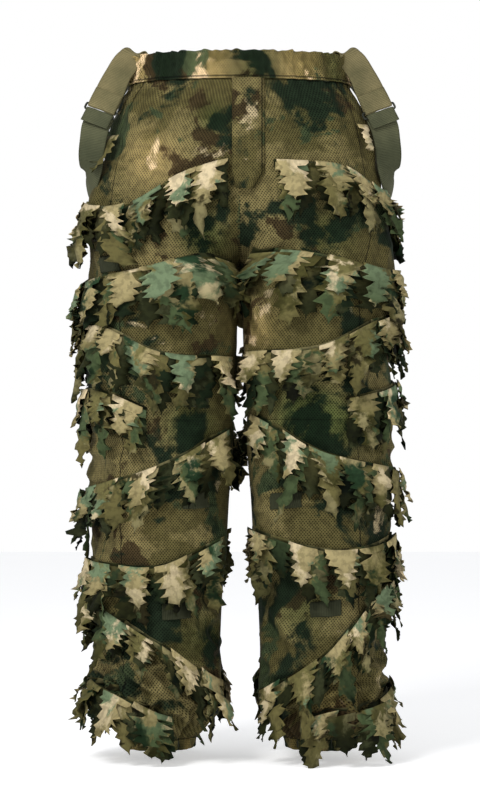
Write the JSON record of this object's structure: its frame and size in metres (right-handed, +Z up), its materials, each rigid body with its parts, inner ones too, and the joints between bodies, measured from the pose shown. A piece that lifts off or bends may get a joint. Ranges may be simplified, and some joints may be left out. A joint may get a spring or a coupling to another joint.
{
  "type": "ghillie suit trousers",
  "caption": "Loose camouflage mesh over-trousers of a leaf ghillie suit, with gathered waist and cuffs, hanging braces, webbing loops and bands of cut leaves.",
  "frame": {"origin": "middle of the waist opening, at the waistband's top edge, where the wearer's waist holds the trousers", "axes": "+Z up along the wearer, -Y is the wearer's front, +X is the wearer's left"},
  "size_m": [0.5268, 0.3236, 1.0615],
  "materials": {
    "camouflage_mesh_cloth": "woven mesh, matt",
    "leaf_cloth": "printed woven cloth, matt",
    "knitted_elastic": "knitted elastic, matt",
    "tan_webbing": "ribbed webbing, matt",
    "green_webbing": "ribbed webbing, matt",
    "zip_tape": "woven tape, matt",
    "blackened_metal": "satin",
    "dark_plastic": "matt"
  },
  "bodies": {
    "garment": {"waistband_casing": "camouflage_mesh_cloth", "waist_elastic": "knitted_elastic", "fly_placket": "camouflage_mesh_cloth", "fly_zip_tape": "zip_tape", "left_front_hip_panel": "camouflage_mesh_cloth", "left_back_hip_panel": "camouflage_mesh_cloth", "left_front_brace_tab": "tan_webbing", "left_rear_brace_tab": "green_webbing", "left_leaf_strip_1": "leaf_cloth", "right_front_hip_panel": "camouflage_mesh_cloth", "right_back_hip_panel": "camouflage_mesh_cloth", "right_front_brace_tab": "tan_webbing", "right_rear_brace_tab": "green_webbing", "right_leaf_strip_1": "leaf_cloth"},
    "zip_slider": {"fly_zip_slider": "blackened_metal"},
    "left_thigh": {"left_front_thigh_panel": "camouflage_mesh_cloth", "left_back_thigh_panel": "camouflage_mesh_cloth", "left_hip_fold": "camouflage_mesh_cloth", "left_leaf_strip_2": "leaf_cloth", "left_leaf_strip_3": "leaf_cloth", "left_leaf_strip_4": "leaf_cloth", "left_foliage_loop_1": "green_webbing", "left_foliage_loop_2": "green_webbing"},
    "left_shin": {"left_front_shin_panel": "camouflage_mesh_cloth", "left_back_shin_panel": "camouflage_mesh_cloth", "left_knee_fold": "camouflage_mesh_cloth", "left_cuff_casing": "camouflage_mesh_cloth", "left_cuff_elastic": "knitted_elastic", "left_leaf_strip_5": "leaf_cloth", "left_leaf_strip_6": "leaf_cloth", "left_leaf_strip_7": "leaf_cloth", "left_leaf_strip_8": "leaf_cloth", "left_foliage_loop_3": "green_webbing", "left_foliage_loop_4": "green_webbing"},
    "left_brace": {"left_brace_webbing": "tan_webbing", "left_brace_elastic": "green_webbing", "left_brace_ring": "dark_plastic"},
    "right_thigh": {"right_front_thigh_panel": "camouflage_mesh_cloth", "right_back_thigh_panel": "camouflage_mesh_cloth", "right_hip_fold": "camouflage_mesh_cloth", "right_leaf_strip_2": "leaf_cloth", "right_leaf_strip_3": "leaf_cloth", "right_leaf_strip_4": "leaf_cloth", "right_foliage_loop_1": "green_webbing", "right_foliage_loop_2": "green_webbing"},
    "right_shin": {"right_front_shin_panel": "camouflage_mesh_cloth", "right_back_shin_panel": "camouflage_mesh_cloth", "right_knee_fold": "camouflage_mesh_cloth", "right_cuff_casing": "camouflage_mesh_cloth", "right_cuff_elastic": "knitted_elastic", "right_leaf_strip_5": "leaf_cloth", "right_leaf_strip_6": "leaf_cloth", "right_leaf_strip_7": "leaf_cloth", "right_leaf_strip_8": "leaf_cloth", "right_foliage_loop_3": "green_webbing", "right_foliage_loop_4": "green_webbing"},
    "right_brace": {"right_brace_webbing": "tan_webbing", "right_brace_elastic": "green_webbing", "right_brace_ring": "dark_plastic"}
  },
  "joints": [
    {"name": "zip_slide", "type": "slide", "parent": "garment", "child": "zip_slider", "axis": [0, -0.1232, -0.9924], "range_m": [0, 0.105]},
    {"name": "left_hip", "type": "hinge", "parent": "garment", "child": "left_thigh", "pos_m": [0.11, 0.0027, -0.22], "axis": [1, 0, 0], "range_deg": [-60, 15], "deforming": ["left_hip_fold", "left_leaf_strip_1", "left_leaf_strip_2"]},
    {"name": "left_knee", "type": "hinge", "parent": "left_thigh", "child": "left_shin", "pos_m": [0.12, 0.0011, -0.6], "axis": [1, 0, 0], "range_deg": [0, 70], "deforming": ["left_knee_fold", "left_foliage_loop_2", "left_foliage_loop_3", "left_leaf_strip_4", "left_leaf_strip_5"]},
    {"name": "left_brace_swing", "type": "hinge", "parent": "garment", "child": "left_brace", "pos_m": [0.1683, -0.022, 0.002], "axis": [0.1711, -0.9853, 0], "range_deg": [0, 150], "deforming": ["left_front_brace_tab", "left_rear_brace_tab"]},
    {"name": "right_hip", "type": "hinge", "parent": "garment", "child": "right_thigh", "pos_m": [-0.11, 0.0027, -0.22], "axis": [1, 0, 0], "range_deg": [-60, 15], "deforming": ["right_hip_fold", "right_leaf_strip_1", "right_leaf_strip_2"]},
    {"name": "right_knee", "type": "hinge", "parent": "right_thigh", "child": "right_shin", "pos_m": [-0.12, 0.0011, -0.6], "axis": [1, 0, 0], "range_deg": [0, 70], "deforming": ["right_knee_fold", "right_foliage_loop_2", "right_foliage_loop_3", "right_leaf_strip_4", "right_leaf_strip_5"]},
    {"name": "right_brace_swing", "type": "hinge", "parent": "garment", "child": "right_brace", "pos_m": [-0.1683, -0.022, 0.002], "axis": [0.1711, 0.9853, 0], "range_deg": [0, 150], "deforming": ["right_front_brace_tab", "right_rear_brace_tab"]}
  ]
}
